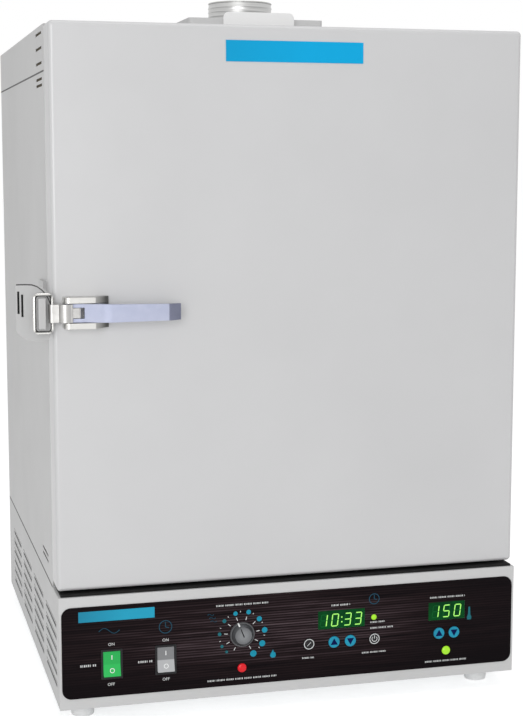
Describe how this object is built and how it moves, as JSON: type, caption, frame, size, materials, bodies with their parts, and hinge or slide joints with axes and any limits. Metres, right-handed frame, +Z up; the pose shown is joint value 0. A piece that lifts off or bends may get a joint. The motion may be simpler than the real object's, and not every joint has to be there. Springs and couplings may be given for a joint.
{
  "type": "gravity convection oven",
  "caption": "Bench-top laboratory oven with a full-height hinged door, lever latch with wire ring, roof vent with slide damper, and a base with control panel and louvred sides.",
  "frame": {"origin": "on the bench, under the middle of the whole oven with its latch and hinges", "axes": "+Z up, the door and control panel face -Y, +X to the right seen from the front"},
  "size_m": [0.6054, 0.59, 0.8473],
  "materials": {
    "door_paint": "satin",
    "cabinet_paint": "satin",
    "galvanised": "satin",
    "stainless": "satin",
    "latch_chrome": "polished",
    "element_sheath": "matte",
    "insulation": "matte",
    "gasket": "matte",
    "panel_film": "satin",
    "badge_blue": "satin",
    "rocker_green": "gloss",
    "rocker_grey": "gloss",
    "black_plastic": "satin",
    "knob_grey": "satin",
    "display": "gloss",
    "lamp": "gloss",
    "key_cyan": "satin",
    "key_black": "satin",
    "foot": "matte",
    "board_green": "satin"
  },
  "bodies": {
    "cabinet": {"base_housing": "cabinet_paint", "base_floor": "galvanised", "levelling_feet": "foot", "side_panel_left": "cabinet_paint", "side_panel_right": "cabinet_paint", "top_cap": "cabinet_paint", "rear_panel": "cabinet_paint", "cabinet_deck": "galvanised", "front_frame": "stainless", "chamber_liner": "stainless", "chamber_probes": "stainless", "insulation_jacket": "insulation", "shelf_standards": "stainless", "shelf_clips": "stainless", "lower_shelf": "stainless", "upper_shelf": "stainless", "heating_element": "element_sheath", "element_brackets": "stainless", "diffuser_plate": "stainless", "vent_cover": "cabinet_paint", "vent_chimney": "stainless", "flue_tube": "stainless", "damper_rails": "galvanised", "panel_overlay": "panel_film", "timer_display": "display", "temperature_display": "display", "indicator_lamps": "lamp", "control_board": "board_green", "rocker_bezels": "black_plastic", "limit_thermostat": "black_plastic", "power_relay": "black_plastic", "power_inlet": "black_plastic", "hinge_cabinet_leaves": "cabinet_paint", "hinge_pins": "galvanised", "latch_keeper": "latch_chrome", "keeper_screws": "galvanised"},
    "door": {"door_outer_pan": "door_paint", "door_inner_panel": "stainless", "door_insulation": "insulation", "door_gasket": "gasket", "door_badge": "badge_blue", "hinge_door_leaves": "door_paint", "latch_base": "latch_chrome", "lever_pivot_pins": "galvanised", "latch_screws": "galvanised"},
    "damper": {"damper_slide": "stainless"},
    "knob": {"limit_knob": "knob_grey", "knob_shaft": "galvanised"},
    "power_rocker": {"power_rocker": "rocker_green"},
    "timer_rocker": {"timer_rocker": "rocker_grey"},
    "lever": {"latch_lever": "latch_chrome", "link_pin": "galvanised"},
    "link": {"latch_link": "latch_chrome"},
    "ring": {"latch_ring": "latch_chrome"},
    "timer_reset_key": {"timer_reset_key": "key_black"},
    "timer_up_key": {"timer_up_key": "key_cyan"},
    "timer_down_key": {"timer_down_key": "key_cyan"},
    "start_stop_key": {"start_stop_key": "key_black"},
    "temperature_up_key": {"temperature_up_key": "key_cyan"},
    "temperature_down_key": {"temperature_down_key": "key_cyan"}
  },
  "joints": [
    {"name": "door_hinge", "type": "hinge", "parent": "cabinet", "child": "door", "pos_m": [0.2997, -0.2215, 0.4773], "axis": [0, 0, 1], "range_deg": [0, 175]},
    {"name": "latch_lever", "type": "hinge", "parent": "door", "child": "lever", "pos_m": [-0.2462, -0.2765, 0.4775], "axis": [0, 0, -1], "range_deg": [0, 85]},
    {"name": "latch_link", "type": "hinge", "parent": "lever", "child": "link", "pos_m": [-0.2352, -0.2765, 0.4775], "axis": [0, 0, -1], "range_deg": [-85, 0]},
    {"name": "latch_ring", "type": "hinge", "parent": "link", "child": "ring", "pos_m": [-0.2647, -0.2765, 0.4775], "axis": [0, 0, 1], "range_deg": [0, 95]},
    {"name": "vent_damper", "type": "slide", "parent": "cabinet", "child": "damper", "axis": [0, -1, 0], "range_m": [0, 0.06]},
    {"name": "limit_knob", "type": "hinge", "parent": "cabinet", "child": "knob", "pos_m": [-0.0482, -0.2728, 0.094], "axis": [0, 1, 0], "range_deg": [-120, 150]},
    {"name": "power_rocker", "type": "hinge", "parent": "cabinet", "child": "power_rocker", "pos_m": [-0.2026, -0.271, 0.071], "axis": [1, 0, 0], "range_deg": [0, 14]},
    {"name": "timer_rocker", "type": "hinge", "parent": "cabinet", "child": "timer_rocker", "pos_m": [-0.1395, -0.271, 0.071], "axis": [1, 0, 0], "range_deg": [0, 14]},
    {"name": "timer_reset_key", "type": "slide", "parent": "cabinet", "child": "timer_reset_key", "axis": [0, 1, 0], "range_m": [0, 0.0005], "stiffness_N_per_m": 400},
    {"name": "timer_up_key", "type": "slide", "parent": "cabinet", "child": "timer_up_key", "axis": [0, 1, 0], "range_m": [0, 0.0005], "stiffness_N_per_m": 400},
    {"name": "timer_down_key", "type": "slide", "parent": "cabinet", "child": "timer_down_key", "axis": [0, 1, 0], "range_m": [0, 0.0005], "stiffness_N_per_m": 400},
    {"name": "start_stop_key", "type": "slide", "parent": "cabinet", "child": "start_stop_key", "axis": [0, 1, 0], "range_m": [0, 0.0005], "stiffness_N_per_m": 400},
    {"name": "temperature_up_key", "type": "slide", "parent": "cabinet", "child": "temperature_up_key", "axis": [0, 1, 0], "range_m": [0, 0.0005], "stiffness_N_per_m": 400},
    {"name": "temperature_down_key", "type": "slide", "parent": "cabinet", "child": "temperature_down_key", "axis": [0, 1, 0], "range_m": [0, 0.0005], "stiffness_N_per_m": 400}
  ],
  "couplings": [
    {"joint": "latch_link", "follows": "latch_lever", "ratio": -1}
  ]
}
